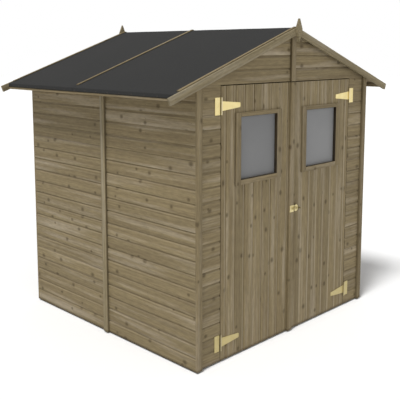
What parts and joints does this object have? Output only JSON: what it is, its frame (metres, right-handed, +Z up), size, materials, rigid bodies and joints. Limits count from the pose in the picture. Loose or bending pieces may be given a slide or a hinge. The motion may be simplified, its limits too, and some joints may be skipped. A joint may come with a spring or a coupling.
{
  "type": "wooden garden shed",
  "caption": "Boarded wooden garden shed with a pitched felt roof, gabled ends and a pair of windowed doors that swing outwards and close with a pad bolt.",
  "frame": {"origin": "on the ground under the middle of the shed", "axes": "+Z up; the doors face -Y; +X is to the right of someone facing the doors"},
  "size_m": [2.32, 1.882, 2.1776],
  "materials": {
    "inner_timber": "sawn softwood",
    "cladding": "pressure-treated softwood, planed",
    "cover_strips": "pressure-treated softwood, planed",
    "roof_felt": "matt bitumen roofing felt",
    "ironmongery": "yellow zinc plate",
    "window_panes": "clear glazing sheet"
  },
  "bodies": {
    "shed": {"floor_bearers": "inner_timber", "floor_deck": "inner_timber", "side_wall_rails": "inner_timber", "side_wall_posts": "inner_timber", "back_wall_rails": "inner_timber", "back_wall_posts": "inner_timber", "front_rails": "inner_timber", "front_posts": "inner_timber", "roof_timbers": "inner_timber", "left_roof_panel": "inner_timber", "right_roof_panel": "inner_timber", "left_wall": "cladding", "right_wall": "cladding", "back_wall": "cladding", "front_side_panels": "cladding", "front_gable": "cladding", "felt_battens": "cover_strips", "eaves_fascias": "cover_strips", "barge_boards": "cover_strips", "finials": "cover_strips", "front_cover_strips": "cover_strips", "back_cover_strips": "cover_strips", "side_wall_strips": "cover_strips", "left_roof_felt": "roof_felt", "right_roof_felt": "roof_felt", "hinge_plates": "ironmongery"},
    "left_door": {"left_door_side_boards": "cladding", "left_door_window_boards": "cladding", "left_door_ledges": "inner_timber", "left_window_trim": "cover_strips", "left_window_glass": "window_panes", "left_glazing_beads": "inner_timber", "left_hinge_straps": "ironmongery", "meeting_strip": "cover_strips", "bolt_keep": "ironmongery"},
    "right_door": {"right_door_side_boards": "cladding", "right_door_window_boards": "cladding", "right_door_ledges": "inner_timber", "right_window_trim": "cover_strips", "right_window_glass": "window_panes", "right_glazing_beads": "inner_timber", "right_hinge_straps": "ironmongery", "bolt_block": "cover_strips", "bolt_guides": "ironmongery"},
    "bolt": {"sliding_bolt": "ironmongery"}
  },
  "joints": [
    {"name": "left_door_hinge", "type": "hinge", "parent": "shed", "child": "left_door", "pos_m": [-0.696, -0.888, 0.886], "axis": [0, 0, -1], "range_deg": [0, 160]},
    {"name": "right_door_hinge", "type": "hinge", "parent": "shed", "child": "right_door", "pos_m": [0.696, -0.888, 0.886], "axis": [0, 0, 1], "range_deg": [0, 160]},
    {"name": "bolt_slide", "type": "slide", "parent": "right_door", "child": "bolt", "axis": [-1, 0, 0], "range_m": [0, 0.015]}
  ]
}
